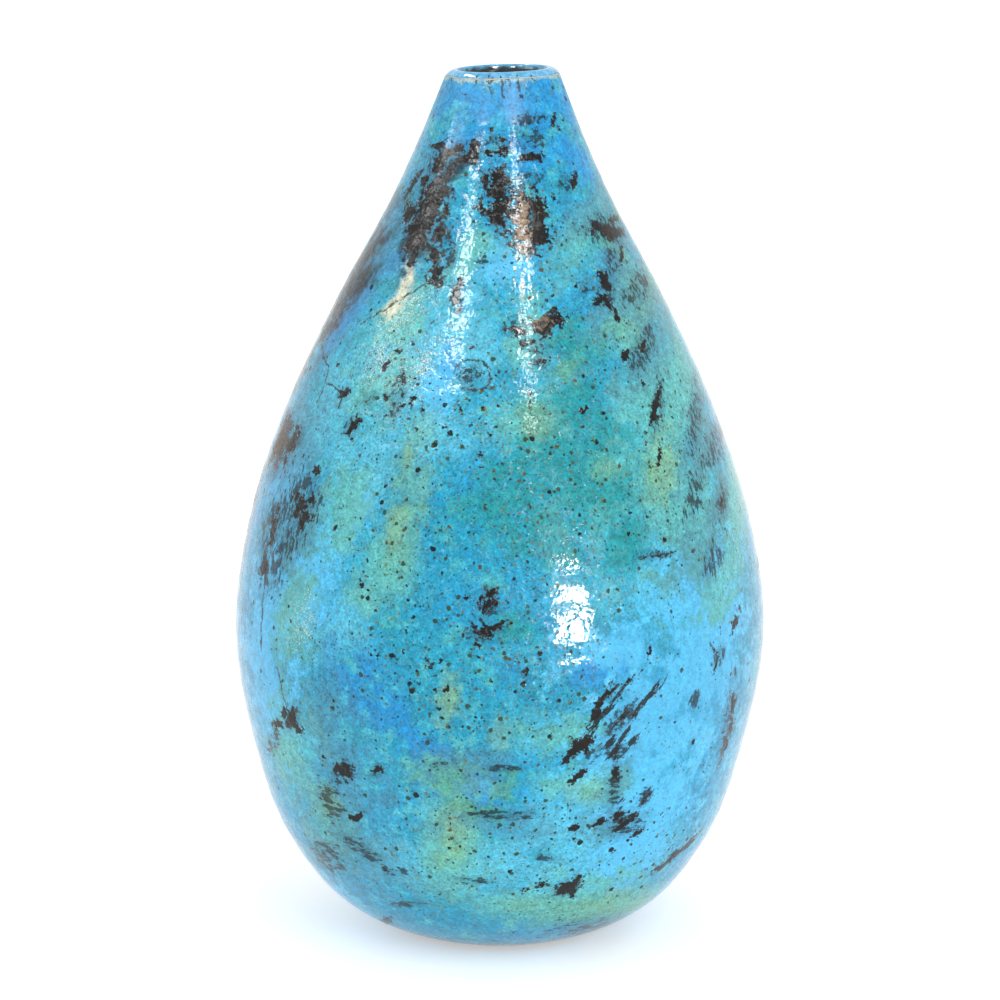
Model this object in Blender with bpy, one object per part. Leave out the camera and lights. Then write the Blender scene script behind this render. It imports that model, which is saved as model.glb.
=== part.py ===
"""A raku-fired bottle vase: one wheel-thrown clay body that carries three coats of glaze.

Everything is worked out from the vase's finished face, an outline of (radius, height) points
that runs from the foot up the outside, over the lip and down the inside to the middle of the
floor. Where the vase is glazed, the clay lies one coat and one bond gap behind that face.
Where it is bare, at the foot and in a thin line under the lip, the clay comes out to the face
itself. Each outline is turned about the vertical axis. Sizes are in metres, with +Z up and
the origin at the middle of the foot.
"""

from math import radians, tan, tau

import bmesh
import bpy
import numpy as np

# The finished vase
HEIGHT = 0.300
BELLY_RADIUS = 0.0922
BELLY_HEIGHT = 0.108
FOOT_RADIUS = 0.032

# The lip, which is thrown by hand and stands a little higher on its +X side
ARRIS_RADIUS = 0.0194
MOUTH_RADIUS = 0.0143
LIP_RISE = 0.0021
LIP_TILT = radians(1.8)
TILT_REACH = 0.040

# The clay
WALL = 0.0065
FLOOR = 0.0080
FOOT_RIM = 0.0090
FOOT_RECESS = 0.0025

# The glaze, and the stretches of the outline that it leaves bare
COAT = 0.0007
BOND_GAP = 0.0003
BARE_LINE = 0.0009
BARE_FOOT = 0.0048

# The outside between the named rings, as shares of the way out and of the way up
LOWER_CURVE = ((0.407, 0.109), (0.722, 0.335), (0.897, 0.626))
UPPER_CURVE = ((0.924, 0.200), (0.750, 0.400), (0.505, 0.600), (0.229, 0.797))

# The crest of the lip, as shares of the way in to the mouth and of the lip's rise
CREST_CURVE = ((0.27, 0.66), (0.59, 1.00), (0.86, 0.88), (1.00, 0.60))

# How finely the shapes are cut
SIDES = 48
WALL_STEPS = 2
CREST_STEPS = 1
SHARP_ANGLE = radians(50)
WELD = 1e-6

ARRIS_HEIGHT = HEIGHT - LIP_RISE
BEHIND = COAT + BOND_GAP


def between(start, end, shares):
    """Points at the given shares of the way from one (radius, height) point to another."""
    start, end = np.array(start), np.array(end)
    return start + np.array(shares) * (end - start)


def smooth_curve(stations, steps):
    """A curve through the stations: cubic spans, whose slope at a station blends its two chords."""
    points = np.vstack(stations)
    spans = np.hypot(*np.diff(points, axis=0).T)[:, None]
    chords = np.diff(points, axis=0) / spans
    blend = (chords[:-1] * spans[1:] + chords[1:] * spans[:-1]) / (spans[:-1] + spans[1:])
    slopes = np.vstack([2 * chords[0] - blend[0], blend, 2 * chords[-1] - blend[-1]])
    t = (np.arange(steps) / steps)[None, :, None]
    curve = (
        (2 * t**3 - 3 * t**2 + 1) * points[:-1, None]
        + (t**3 - 2 * t**2 + t) * (slopes[:-1] * spans)[:, None]
        + (3 * t**2 - 2 * t**3) * points[1:, None]
        + (t**3 - t**2) * (slopes[1:] * spans)[:, None]
    )
    return np.vstack([curve.reshape(-1, 2), points[-1]])


def moved_left(outline, depth):
    """The outline moved to its left, as seen along it, with mitred corners."""
    along = np.diff(outline, axis=0)
    along /= np.hypot(*along.T)[:, None]
    left = np.stack([-along[:, 1], along[:, 0]], axis=1)
    mitre = np.vstack([left[:1], left]) + np.vstack([left, left[-1:]])
    mitre *= 2 / (mitre**2).sum(axis=1)[:, None]
    return outline + mitre * np.reshape(depth, (-1, 1))


def outside_face():
    """The finished outside, from the edge of the foot to the arris of the lip."""
    foot, belly = (FOOT_RADIUS, 0.0), (BELLY_RADIUS, BELLY_HEIGHT)
    lower = between(foot, belly, LOWER_CURVE)
    upper = between((ARRIS_RADIUS, BELLY_HEIGHT), (BELLY_RADIUS, ARRIS_HEIGHT), UPPER_CURVE)
    return smooth_curve([foot, lower, belly, upper, (ARRIS_RADIUS, ARRIS_HEIGHT)], WALL_STEPS)


def crest_face():
    """The finished lip, from its arris over the crest to the edge of the mouth."""
    arris = (ARRIS_RADIUS, ARRIS_HEIGHT)
    return smooth_curve([arris, between(arris, (MOUTH_RADIUS, HEIGHT), CREST_CURVE)], CREST_STEPS)


def inside_face(outside):
    """The finished inside: the outside moved in by the wall and its coats, then a level floor."""
    depths = (WALL + 2 * BEHIND, ARRIS_RADIUS - MOUTH_RADIUS)
    wall = moved_left(outside, np.interp(outside[:, 1], (BELLY_HEIGHT, ARRIS_HEIGHT), depths))
    floor_height = FOOT_RECESS + FLOOR + BEHIND
    floor_radius = np.interp(floor_height, wall[:, 1], wall[:, 0])
    wall = wall[wall[:, 1] > floor_height + WELD][::-1]
    return np.vstack([wall, (floor_radius, floor_height), (0.0, floor_height)])


def marks_along(outline):
    """How far along the outline each of its points lies."""
    return np.append(0.0, np.cumsum(np.hypot(*np.diff(outline, axis=0).T)))


def stretch(outline, marks, start, end):
    """The points of the outline from one mark to another, with a point of its own at each end."""
    at = marks[(marks > start + WELD) & (marks < end - WELD)]
    at = np.concatenate([[start], at, [end]])
    return np.stack([np.interp(at, marks, outline[:, axis]) for axis in (0, 1)], axis=1)


def clay_outline(face, marks, foot_end, line_start, line_end):
    """The clay, from the middle of its underside round the outside and down the inside."""
    clay = moved_left(face, BEHIND)
    rim = FOOT_RADIUS - FOOT_RIM
    return np.vstack([
        ((0.0, FOOT_RECESS), (rim, FOOT_RECESS), (rim, 0.0)),
        stretch(face, marks, 0.0, foot_end),
        stretch(clay, marks, foot_end, line_start),
        stretch(face, marks, line_start, line_end),
        stretch(clay, marks, line_end, marks[-1]),
    ])


def coat_outline(face, marks, start, end):
    """A coat of glaze from one mark to another, on the face and back along its underside."""
    underside = moved_left(face, COAT)
    return np.vstack([stretch(face, marks, start, end)[::-1], stretch(underside, marks, start, end)])


def tilt_lip(bm):
    """Raise the lip towards +X and lower it towards -X, fading out down the neck."""
    for vert in bm.verts:
        share = max(0.0, 1 - (HEIGHT - vert.co.z) / TILT_REACH)
        vert.co.z += vert.co.x * tan(LIP_TILT) * share**2


def turned(name, outline, material, parent):
    """A piece turned about the vertical axis. An outline that starts off the axis is a loop."""
    bm = bmesh.new()
    verts = [bm.verts.new((radius, 0.0, height)) for radius, height in outline]
    edges = [bm.edges.new(pair) for pair in zip(verts, verts[1:])]
    if outline[0, 0] > WELD:
        edges.append(bm.edges.new((verts[-1], verts[0])))
    bmesh.ops.spin(bm, geom=verts + edges, axis=(0, 0, 1), angle=tau, steps=SIDES, use_merge=True)
    bmesh.ops.remove_doubles(bm, verts=bm.verts, dist=WELD)
    tilt_lip(bm)
    bmesh.ops.recalc_face_normals(bm, faces=bm.faces)
    mesh = bpy.data.meshes.new(name)
    bm.to_mesh(mesh)
    bm.free()
    mesh.shade_smooth()
    mesh.set_sharp_from_angle(angle=SHARP_ANGLE)
    mesh.materials.append(material)
    piece = bpy.data.objects.new(name, mesh)
    piece.parent = parent
    bpy.context.collection.objects.link(piece)


def material_of(name, color, roughness):
    """A Principled material of one colour, given as linear red, green and blue."""
    material = bpy.data.materials.new(name)
    material.use_nodes = True
    shader = material.node_tree.nodes["Principled BSDF"]
    shader.inputs["Base Color"].default_value = (*color, 1.0)
    shader.inputs["Roughness"].default_value = roughness
    shader.inputs["Metallic"].default_value = 0.0
    material.diffuse_color = (*color, 1.0)
    return material


def raku_clay():
    """Coarse buff clay, fired porous and darkened by smoke."""
    return material_of("raku_clay", (0.300, 0.230, 0.160), 0.85)


def turquoise_glaze():
    """The copper-blue glaze of the outside."""
    return material_of("turquoise_glaze", (0.040, 0.420, 0.560), 0.12)


def blue_lip_glaze():
    """The same glaze where it lies thick and blue on the lip."""
    return material_of("blue_lip_glaze", (0.030, 0.300, 0.500), 0.10)


def smoked_liner_glaze():
    """The glaze of the inside, blackened in the smoke."""
    return material_of("smoked_liner_glaze", (0.012, 0.018, 0.016), 0.15)


def vase():
    """The clay body and its three coats, about one vertical axis."""
    outside = outside_face()
    lip = crest_face()
    face = np.vstack([outside, lip[1:], inside_face(outside)])
    marks = marks_along(face)
    arris = marks[len(outside) - 1]
    mouth = marks[len(outside) + len(lip) - 2]
    line = arris - BARE_LINE

    axis = bpy.data.objects.new("vase_axis", None)
    bpy.context.collection.objects.link(axis)
    turned("clay_body", clay_outline(face, marks, BARE_FOOT, line, arris), raku_clay(), axis)

    outer = coat_outline(face, marks, BARE_FOOT + BOND_GAP, line - BOND_GAP)
    turned("outer_glaze", outer, turquoise_glaze(), axis)
    crest = coat_outline(face, marks, arris + BOND_GAP, mouth)
    turned("lip_glaze", crest, blue_lip_glaze(), axis)
    liner = coat_outline(face, marks, mouth + BOND_GAP, marks[-1])
    turned("liner_glaze", liner, smoked_liner_glaze(), axis)


for old in list(bpy.data.objects):
    bpy.data.objects.remove(old, do_unlink=True)
vase()
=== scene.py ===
from math import cos, radians, sin, tan

import bpy
import numpy as np
from mathutils import Matrix


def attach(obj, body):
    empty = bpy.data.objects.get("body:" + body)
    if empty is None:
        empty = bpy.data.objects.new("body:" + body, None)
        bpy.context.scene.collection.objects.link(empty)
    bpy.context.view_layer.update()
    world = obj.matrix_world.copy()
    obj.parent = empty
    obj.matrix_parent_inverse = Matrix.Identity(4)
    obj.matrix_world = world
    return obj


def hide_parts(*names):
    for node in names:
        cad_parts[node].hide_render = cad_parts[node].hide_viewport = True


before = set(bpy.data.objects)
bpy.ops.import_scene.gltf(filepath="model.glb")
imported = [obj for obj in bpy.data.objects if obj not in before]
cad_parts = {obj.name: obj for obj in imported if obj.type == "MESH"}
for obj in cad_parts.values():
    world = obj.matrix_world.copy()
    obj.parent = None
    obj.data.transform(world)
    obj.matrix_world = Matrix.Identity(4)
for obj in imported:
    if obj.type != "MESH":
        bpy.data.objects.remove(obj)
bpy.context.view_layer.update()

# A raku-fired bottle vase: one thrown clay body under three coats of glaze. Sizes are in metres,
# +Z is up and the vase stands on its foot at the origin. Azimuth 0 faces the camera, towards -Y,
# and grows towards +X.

MM = 0.001


# The clay body: coarse buff raku clay thrown on a wheel, turned at the foot, and fired twice. It
# shows only as a thin pale line at the edge of the lip and at its bare foot, which smoke has
# darkened. All four pieces follow one outline, the finished face of the vase.
HEIGHT = 0.300
BELLY_RADIUS = 0.0922
BELLY_HEIGHT = 0.108
FOOT_RADIUS = 0.032
ARRIS_RADIUS = 0.0194
MOUTH_RADIUS = 0.0143
LIP_RISE = 0.0021
LIP_TILT = radians(1.8)
TILT_REACH = 0.040
WALL = 0.0065
FLOOR = 0.0080
FOOT_RIM = 0.0090
FOOT_RECESS = 0.0025
COAT = 0.0007
GAP = 0.0003
BEHIND = COAT + GAP
BARE_FOOT = 0.0048
ARRIS_HEIGHT = HEIGHT - LIP_RISE


def between(start, end, shares):
    """Points at the given shares of the way from one (radius, height) point to another."""
    start, end = np.array(start), np.array(end)
    return start + np.array(shares) * (end - start)


def smooth_curve(stations, steps):
    """A curve through the stations: cubic spans, whose slope at a station blends its two chords."""
    points = np.vstack(stations)
    spans = np.hypot(*np.diff(points, axis=0).T)[:, None]
    chords = np.diff(points, axis=0) / spans
    blend = (chords[:-1] * spans[1:] + chords[1:] * spans[:-1]) / (spans[:-1] + spans[1:])
    slopes = np.vstack([2 * chords[0] - blend[0], blend, 2 * chords[-1] - blend[-1]])
    t = (np.arange(steps) / steps)[None, :, None]
    curve = (
        (2 * t**3 - 3 * t**2 + 1) * points[:-1, None]
        + (t**3 - 2 * t**2 + t) * (slopes[:-1] * spans)[:, None]
        + (3 * t**2 - 2 * t**3) * points[1:, None]
        + (t**3 - t**2) * (slopes[1:] * spans)[:, None]
    )
    return np.vstack([curve.reshape(-1, 2), points[-1]])


def headings_of(outline):
    """The unit direction of the outline at each of its points, from its neighbours' difference."""
    heading = np.gradient(outline, axis=0)
    return heading / np.hypot(*heading.T)[:, None]


def marks_along(outline):
    """How far along the outline each of its points lies: the sum of the steps before it."""
    return np.append(0.0, np.cumsum(np.hypot(*np.diff(outline, axis=0).T)))


foot_edge = (FOOT_RADIUS, 0.0)
belly = (BELLY_RADIUS, BELLY_HEIGHT)
arris = (ARRIS_RADIUS, ARRIS_HEIGHT)
lower_shares = ((0.407, 0.109), (0.722, 0.335), (0.897, 0.626))
upper_shares = ((0.924, 0.200), (0.750, 0.400), (0.505, 0.600), (0.229, 0.797))
crest_shares = ((0.27, 0.66), (0.59, 1.00), (0.86, 0.88), (1.00, 0.60))
lower = between(foot_edge, belly, lower_shares)
upper = between((ARRIS_RADIUS, BELLY_HEIGHT), (BELLY_RADIUS, ARRIS_HEIGHT), upper_shares)
outside = smooth_curve([foot_edge, lower, belly, upper, arris], steps=40)
crest = smooth_curve([arris, between(arris, (MOUTH_RADIUS, HEIGHT), crest_shares)], steps=12)

# The inside runs one wall and two coats behind the outside, and ends in a level floor.
heading = headings_of(outside)
wall_depths = (WALL + 2 * BEHIND, ARRIS_RADIUS - MOUTH_RADIUS)
depth = np.interp(outside[:, 1], (BELLY_HEIGHT, ARRIS_HEIGHT), wall_depths)
wall = outside + np.stack([-heading[:, 1], heading[:, 0]], axis=1) * depth[:, None]
floor_height = FOOT_RECESS + FLOOR + BEHIND
floor_edge = (np.interp(floor_height, wall[:, 1], wall[:, 0]), floor_height)
floor_line = between(floor_edge, (0.0, floor_height), np.linspace(0, 1, 20)[:, None])
wall = wall[wall[:, 1] > floor_height][::-1]
face = np.vstack([outside, crest[1:], wall, floor_line])
face_marks = marks_along(face)
face_headings = headings_of(face)

# The bare line lies just above the arris, and the lip glaze ends just before the mouth.
arris_mark = face_marks[len(outside) - 1]
mouth_mark = face_marks[len(outside) + len(crest) - 2]
line_start = arris_mark + 0.10 * MM
line_end = arris_mark + 0.60 * MM
rim_mark = mouth_mark - 0.9 * MM


def on_face(at, depth=0.0):
    """Points at the given marks along the face, moved by a depth to its left, into the clay."""
    radius, height = (np.interp(at, face_marks, face[:, axis]) for axis in (0, 1))
    out, up = (np.interp(at, face_marks, face_headings[:, axis]) for axis in (0, 1))
    size = np.hypot(out, up)
    radius = np.maximum(radius - up / size * depth, 0.0)
    return np.stack([radius, height + out / size * depth], axis=1)


# The columns of every turned piece, closer together on the side that faces the camera.
FRONT = 76
front_columns = np.arange(-FRONT, FRONT, 0.8)
columns = np.radians(np.append(front_columns, np.linspace(FRONT, 360 - FRONT, 119)[:-1]))

# How far apart the thrower's rings lie, how deep they and the dents are, and how far the arris of
# the lip wanders up and down.
RING_SPACING, FINE_SPACING = 9.5 * MM, 4.3 * MM
RING_DEPTH, FINE_DEPTH, DENT_DEPTH = 0.10 * MM, 0.03 * MM, 0.35 * MM
LIP_WANDER, WANDER_REACH = 0.16 * MM, 1.1 * MM


def hand_of_thrower(azimuth, height):
    """How far the outside is pressed in: throwing rings that wander round the pot, and broad dents.

    Each ring or dent is a cosine of height or azimuth, whose phase drifts with the other one. It
    fades out at the foot and at the lip.
    """
    ring_phase = height / RING_SPACING * 2 * np.pi + 1.3 * np.sin(azimuth + 0.7)
    rings = 0.5 - 0.5 * np.cos(ring_phase + np.sin(height / 0.021))
    fine_phase = height / FINE_SPACING * 2 * np.pi
    fine = 0.5 - 0.5 * np.cos(fine_phase + 2.1 * np.sin(2 * azimuth + height / 0.017))
    three = np.cos(3 * azimuth + 1.9 * np.sin(height / 0.026) + 0.4)
    five = np.cos(5 * azimuth - height / 0.019 + 1.1)
    dents = (2 + three + five) / 4
    fade = np.clip((height - 0.006) / 0.02, 0, 1) * np.clip((0.292 - height) / 0.03, 0, 1)
    return fade * (RING_DEPTH * rings + FINE_DEPTH * fine + DENT_DEPTH * dents)


def turned(name, outline, outward_until=0):
    """A piece turned about the vertical axis from an outline with its material on the left.

    A point of the outline at (radius, height) goes to (radius sin a, -radius cos a, height) at each
    azimuth a. An outline that starts on the axis closes in two poles, and any other is a loop. The
    points up to outward_until take the thrower's dents, and the lip's tilt raises z by x times a
    share that fades out down the neck. Near the arris z also wanders, by a sum of sines of a.
    """
    poles = outline[0, 0] < 1e-9
    if poles:
        ends, outline = outline[[0, -1], 1], outline[1:-1]
    azimuth, height = columns[None, :], outline[:, 1:2]
    radius = np.broadcast_to(outline[:, :1], (len(outline), len(columns))).copy()
    pressed = slice(0, outward_until)
    radius[pressed] -= hand_of_thrower(azimuth, height[pressed])
    x, y = radius * np.sin(azimuth), -radius * np.cos(azimuth)
    z = height + x * tan(LIP_TILT) * np.clip(1 - (HEIGHT - height) / TILT_REACH, 0, None) ** 2
    wander = 0.5 * np.sin(4 * azimuth + 0.6) + 0.3 * np.sin(9 * azimuth)
    wander = wander + 0.2 * np.sin(23 * azimuth + 2)
    z = z + LIP_WANDER * wander * np.exp(-(((height - ARRIS_HEIGHT) / WANDER_REACH) ** 2))
    points = np.stack([x, y, z], axis=2).reshape(-1, 3)
    rings, count = len(outline), len(columns)
    ring = np.arange(rings - 1 if poles else rings)[:, None]
    column = np.arange(count)[None, :]
    here, there = ring * count, (ring + 1) % rings * count
    after = (column + 1) % count
    faces = np.stack([here + column, here + after, there + after, there + column], axis=2)
    faces = faces.reshape(-1, 4).tolist()
    if poles:
        points = np.vstack([points, (0, 0, ends[0]), (0, 0, ends[1])])
        first, last = rings * count, rings * count + 1
        top = (rings - 1) * count
        faces += np.stack([np.full(count, first), after[0], column[0]], axis=1).tolist()
        faces += np.stack([np.full(count, last), top + column[0], top + after[0]], axis=1).tolist()
    mesh = bpy.data.meshes.new(name)
    mesh.from_pydata(points, [], faces)
    mesh.shade_smooth()
    piece = bpy.data.objects.new(name, mesh)
    bpy.context.collection.objects.link(piece)
    return piece


def linear(code):
    """An sRGB hex colour as linear red, green, blue and alpha."""
    value = np.array([int(code[i : i + 2], 16) for i in (0, 2, 4)]) / 255
    value = np.where(value <= 0.04045, value / 12.92, ((value + 0.055) / 1.055) ** 2.4)
    return (*value, 1.0)


def fill(node, sockets):
    """Set a node's sockets, or link them where a value is an output. A tuple fills them in order."""
    pairs = sockets.items() if isinstance(sockets, dict) else enumerate(sockets)
    for socket, value in pairs:
        if isinstance(value, bpy.types.NodeSocket):
            node.id_data.links.new(value, node.inputs[socket])
        else:
            node.inputs[socket].default_value = value


def putter(tree):
    """The function that adds a shader node to a tree, with its settings and sockets filled in."""

    def put(kind, sockets=None, out=0, **settings):
        """Add a node of a kind and give one of its outputs."""
        node = tree.nodes.new("ShaderNode" + kind)
        for name, value in settings.items():
            setattr(node, name, value)
        fill(node, sockets or {})
        return node.outputs[out]

    return put


def finish_of(name):
    """A new material, its Principled shader, and the function that puts nodes in its tree."""
    material = bpy.data.materials.new(name)
    material.use_nodes = True
    return material, material.node_tree.nodes["Principled BSDF"], putter(material.node_tree)


# What makes a Mix node blend two colours, and its colour output.
BLEND = {"out": 2, "data_type": "RGBA"}

# Buff clay with grog of about half a millimetre, fired porous, so it is matt and grainy. Smoke has
# turned the foot a mottled dark brown. The rubbed line at the lip is the palest, under a film of
# glaze.
clay, shader, put = finish_of("raku_buff_clay")
place = put("TexCoord", out="Object")
grog = put("TexNoise", {"Vector": place, "Scale": 1 / (0.6 * MM), "Detail": 4.0})
smoke = put("TexNoise", {"Vector": place, "Scale": 1 / (9 * MM), "Detail": 7.0, "Roughness": 0.62})
brown = put("Mix", {0: smoke, 6: linear("2A231D"), 7: linear("8A735A")}, **BLEND)
film = put("TexNoise", {"Vector": place, "Scale": 1 / (4 * MM), "Detail": 4.0, "Roughness": 0.6})
film = put("MapRange", (film, 0.40, 0.54, 0.1, 0.85))
buff = put("Mix", {0: grog, 6: linear("D2C2A0"), 7: linear("F4ECDA")}, **BLEND)
buff = put("Mix", {0: film, 6: buff, 7: linear("8CC4DC")}, **BLEND)
high = put("SeparateXYZ", (place,), out=2)
high = put("MapRange", (high, 0.1, 0.2))
color = put("Mix", {0: high, 6: brown, 7: buff}, **BLEND)
bump = put("Bump", {"Height": grog, "Distance": 0.12 * MM, "Strength": 1.0})
fill(shader, {"Base Color": color, "Normal": bump, "Roughness": 0.8})

# The foot ring round its recess, with its edges eased, then the bare foot, as (radius, height).
rim = FOOT_RADIUS - FOOT_RIM
foot_ring = [
    (0.0, FOOT_RECESS),
    (0.5 * rim, FOOT_RECESS),
    (rim - 0.6 * MM, FOOT_RECESS),
    (rim - 0.1 * MM, FOOT_RECESS - 0.1 * MM),
    (rim, FOOT_RECESS - 0.5 * MM),
    (rim, 0.5 * MM),
    (rim + 0.15 * MM, 0.12 * MM),
    (rim + 0.6 * MM, 0.0),
    (FOOT_RADIUS - 0.5 * MM, 0.0),
]
foot_marks = np.array([0.15, 0.5, 1.2, 2.2, 3.4, 4.4, 4.75]) * MM
foot_depths = np.array([0.1, 0.02, 0, 0, 0, 0.05, 0.3]) * MM
# Under the coats the clay lies behind the face. At the bare line it swells to a bead.
BEAD_DEPTH = 0.12 * MM
bead_ease = (line_end - line_start) * (1 - np.cos(np.linspace(0, np.pi, 9))) / 2
bead_swell = 1 - np.sin(np.linspace(0.12, 0.88, 9) * np.pi) ** 0.35
clay_outside = np.vstack([
    foot_ring,
    on_face(foot_marks, foot_depths),
    on_face(np.linspace(BARE_FOOT, line_start - 0.05 * MM, 90), BEHIND),
    on_face(line_start + bead_ease, BEAD_DEPTH + (BEHIND - BEAD_DEPTH) * bead_swell),
])
clay_inside = np.vstack([
    on_face(np.linspace(line_end + 0.05 * MM, mouth_mark, 12), BEHIND),
    on_face(np.linspace(mouth_mark, face_marks[-1], 90)[1:], BEHIND),
])
clay_inside[-1, 0] = 0.0
clay_outline = np.vstack([clay_outside, clay_inside])
clay_body = turned("clay_body_thrown", clay_outline, len(clay_outside))
clay_body.data.materials.append(clay)
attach(clay_body, "root")
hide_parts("clay_body")


# The outer glaze: a copper and turquoise raku glaze over the whole outside. It lies smooth and
# glossy, flooded with blue, aqua and green, peppered with iron specks, and blackened or turned to
# dull bronze in ragged patches where smoke and embers touched it while it was hot. Its colour also
# holds painted light: painted shade down the left edge, paler towards the foot, and painted highlights
# and glints on the shoulder and on the bronze.
COAT_ROUND = 0.35 * MM
SEAM = 0.06 * MM
edge_ease = COAT_ROUND * (1 - np.cos(np.linspace(0, np.pi / 2, 7)[:-1]))


def eased(at, from_edge):
    """Points on the face, sunk at an edge of the coat along a quarter of an ellipse.

    The depth is half the coat times 1 minus the root of 1 minus the square of how much of the
    rounding is left before the edge.
    """
    left = np.clip(1 - from_edge / COAT_ROUND, 0, 1)
    return on_face(at, 0.5 * COAT * (1 - np.sqrt(1 - left**2)))


def coat(name, start, end, rings, under_rings, dented):
    """A closed coat between two marks of the face, with eased edges, and its underside behind it.

    Also gives, for each of its points, the azimuth in degrees from -180 to 180, and in mm how far
    along the face it lies and its radius.
    """
    middle = np.linspace(start + COAT_ROUND, end - COAT_ROUND, rings)
    at = np.concatenate([start + edge_ease, middle, end - edge_ease[::-1]])
    under_at = np.linspace(end, start, under_rings)
    over = eased(at, np.minimum(at - start, end - at))
    outline = np.vstack([over, on_face(under_at, COAT)])
    piece = turned(name, outline, len(outline) if dented else 0)
    azimuth = np.broadcast_to(columns, (len(outline), len(columns)))
    azimuth = (np.degrees(azimuth) + 180) % 360 - 180
    along = np.concatenate([at, under_at])[:, None] / MM
    return piece, azimuth, along + 0 * azimuth, outline[:, :1] / MM + 0 * azimuth


def give(piece, name, values):
    """Keep one number for each point of a piece, for its material to read."""
    attribute = piece.data.attributes.new(name, "FLOAT", "POINT")
    attribute.data.foreach_set("value", np.ravel(values).astype(np.float32))


outer_glaze, azimuth, along, radius = coat(
    "outer_glaze_turquoise", BARE_FOOT + GAP, line_start - SEAM, rings=243, under_rings=44, dented=True
)
level = np.interp(along * MM, face_marks, face[:, 1]) / MM


def mark_of(height):
    """How far along the face, in mm, a height in mm lies on the outside or the rising lip."""
    top = face[:, 1].argmax() + 1
    return np.interp(height * MM, face[:top, 1], face_marks[:top]) / MM


def marked(marks):
    """How deep each point lies in the nearest mark: 1 at its middle, 0 on its edge, -1 far out.

    A mark is an ellipse on the unrolled surface: azimuth in degrees, height, half length and half
    width in mm, and how many degrees its length leans from level. The depth is 1 minus the
    distance from its middle, where its half length and half width are the units.
    """
    depth = np.full(azimuth.shape, -1.0)
    for turn, up, long, wide, lean in marks:
        across = np.radians((azimuth - turn + 180) % 360 - 180) * radius
        over = along - mark_of(up)
        c, s = cos(radians(lean)), sin(radians(lean))
        far = np.hypot((across * c + over * s) / long, (over * c - across * s) / wide)
        depth = np.maximum(depth, 1 - far)
    return depth


def strewn(seed, count, longest, leans):
    """Marks strewn over the half of the vase that faces away, larger ones rarer than small ones.

    A half length is the longest one times the square of an even draw from 0.2 to 1.
    """
    rng = np.random.default_rng(seed)
    long = longest * rng.uniform(0.2, 1, count) ** 2
    return np.column_stack([
        rng.uniform(98, 262, count),
        rng.uniform(20, 285, count),
        long,
        long * rng.uniform(0.3, 0.8, count),
        rng.choice(leans, count) + rng.uniform(-15, 15, count),
    ]).tolist()


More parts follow.
